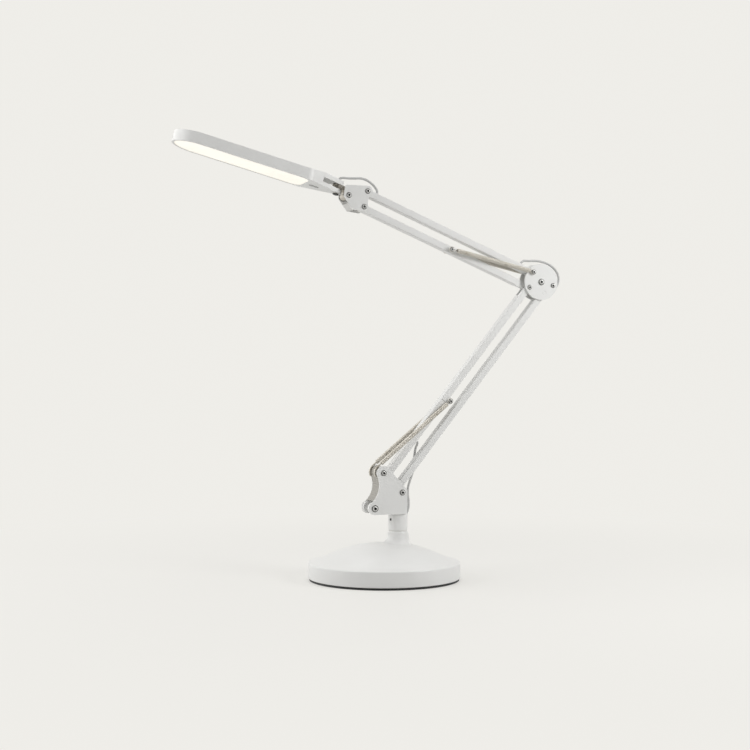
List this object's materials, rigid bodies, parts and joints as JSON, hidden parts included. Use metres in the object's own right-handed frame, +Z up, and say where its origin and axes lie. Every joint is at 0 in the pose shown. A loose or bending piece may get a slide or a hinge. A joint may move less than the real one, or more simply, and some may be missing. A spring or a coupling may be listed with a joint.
{
  "type": "desk_lamp",
  "caption": "Folding LED desk lamp with two spring-balanced parallelogram arms, a swivelling post on a round weighted base, and a slim tilting head with a push button.",
  "frame": {"origin": "centre of the base, on the surface the lamp stands on", "axes": "+X from the head towards the elbow, +Z up, +Y to the rear, across the lamp"},
  "size_m": [0.5433, 0.2016, 0.5757],
  "materials": {
    "white_coat": "satin powder coat",
    "iron": "rough casting",
    "plate_steel": "zinc plated sheet",
    "black_rubber": "matte",
    "screw_steel": "dark nickel plated, hexagon sockets",
    "white_nylon": "natural nylon",
    "satin_nickel": "satin nickel plated casting",
    "black_plastic": "moulded",
    "diffuser_glow": "opal, lit warm white",
    "clear_acrylic": "clear edge-polished acrylic",
    "board_white": "white solder mask",
    "led_phosphor": "phosphor yellow",
    "button_grey": "soft satin",
    "spring_cream": "close-wound coils with a cream coat",
    "lead_grey": "smooth PVC sheath"
  },
  "bodies": {
    "base": {"base_cover": "white_coat", "base_ballast": "iron", "bottom_plate": "plate_steel", "foot_ring": "black_rubber", "bottom_screws": "screw_steel", "cord_gland": "black_rubber", "neck_bush": "white_nylon", "swivel_washer": "white_nylon"},
    "turret": {"turret_post": "white_coat", "swivel_nut": "screw_steel", "grub_screw": "screw_steel", "base_bracket": "white_coat", "bracket_bolts": "screw_steel", "bracket_pins": "white_coat", "bracket_spacers": "white_coat", "post_grommet": "black_rubber"},
    "lower_arm": {"lower_main_bar": "white_coat", "lower_main_ends": "white_coat", "lower_spring_saddle": "white_coat", "lower_spring_pin": "screw_steel", "lower_bar_grommets": "black_rubber", "lower_spring_front": "spring_cream", "lower_spring_rear": "spring_cream", "lead_base": "lead_grey"},
    "lower_link": {"lower_link_bar": "white_coat", "lower_link_ends": "white_coat"},
    "elbow": {"elbow_disc_front": "white_coat", "elbow_disc_rear": "white_coat", "elbow_bolts": "screw_steel", "elbow_pin": "white_coat", "elbow_spacers": "screw_steel", "elbow_washers": "white_nylon", "lead_elbow_lower": "lead_grey"},
    "upper_arm": {"upper_main_bar": "white_coat", "upper_main_ends": "white_coat", "upper_bar_grommets": "black_rubber", "lead_elbow_upper": "lead_grey"},
    "upper_link": {"upper_link_bar": "white_coat", "upper_link_ends": "white_coat", "upper_spring_pin": "screw_steel", "upper_spring_front": "spring_cream", "upper_spring_rear": "spring_cream"},
    "knuckle": {"knuckle": "white_coat", "knuckle_bolts": "screw_steel", "knuckle_spacers": "white_nylon", "tilt_washers": "black_plastic", "lead_head_arm": "lead_grey"},
    "neck": {"head_tongue": "satin_nickel", "lead_head_neck": "lead_grey"},
    "head": {"head_shell": "white_coat", "diffuser": "diffuser_glow", "light_guide": "clear_acrylic", "led_board": "board_white", "led_chips": "led_phosphor", "swivel_pin": "satin_nickel", "swivel_cap": "black_plastic", "head_gland": "black_rubber"},
    "button": {"push_button": "button_grey"}
  },
  "joints": [
    {"name": "base_swivel", "type": "hinge", "parent": "base", "child": "turret", "pos_m": [0.0192, 0, 0.0859], "axis": [0, 0, 1], "range_deg": [-170, 170]},
    {"name": "lower_arm", "type": "hinge", "parent": "turret", "child": "lower_arm", "pos_m": [-0.0043, 0, 0.1284], "axis": [0, -1, 0], "range_deg": [-17, 38], "deforming": ["lower_spring_front", "lower_spring_rear", "lead_base"]},
    {"name": "lower_link", "type": "hinge", "parent": "turret", "child": "lower_link", "pos_m": [0.018, 0, 0.121], "axis": [0, -1, 0], "range_deg": [-17, 38]},
    {"name": "elbow", "type": "hinge", "parent": "lower_arm", "child": "elbow", "pos_m": [0.20589, 0, 0.38797], "axis": [0, -1, 0], "range_deg": [-38, 17], "deforming": ["lead_elbow_lower"]},
    {"name": "upper_arm", "type": "hinge", "parent": "elbow", "child": "upper_arm", "pos_m": [0.21069, 0, 0.40857], "axis": [0, -1, 0], "range_deg": [-45, 25], "deforming": ["lead_elbow_upper"]},
    {"name": "upper_link", "type": "hinge", "parent": "elbow", "child": "upper_link", "pos_m": [0.20589, 0, 0.38797], "axis": [0, -1, 0], "range_deg": [-45, 25], "deforming": ["upper_spring_front", "upper_spring_rear"]},
    {"name": "knuckle", "type": "hinge", "parent": "upper_arm", "child": "knuckle", "pos_m": [-0.02732, 0, 0.50813], "axis": [0, -1, 0], "range_deg": [-25, 45], "deforming": ["lead_head_arm"]},
    {"name": "head_tilt", "type": "hinge", "parent": "knuckle", "child": "neck", "pos_m": [-0.05302, 0, 0.50183], "axis": [0, -1, 0], "range_deg": [-30, 65], "deforming": ["lead_head_neck"]},
    {"name": "head_swivel", "type": "hinge", "parent": "neck", "child": "head", "pos_m": [-0.06492, 0, 0.51203], "axis": [0.2554, 0, 0.9668], "range_deg": [-32, 32]},
    {"name": "power_button", "type": "slide", "parent": "head", "child": "button", "axis": [0.2554, 0, 0.9668], "range_m": [0, 0.0006], "stiffness_N_per_m": 500, "springref_m": -0.001}
  ],
  "couplings": [
    {"joint": "lower_link", "follows": "lower_arm", "ratio": 1},
    {"joint": "elbow", "follows": "lower_arm", "ratio": -1},
    {"joint": "upper_link", "follows": "upper_arm", "ratio": 1},
    {"joint": "knuckle", "follows": "upper_arm", "ratio": -1}
  ]
}
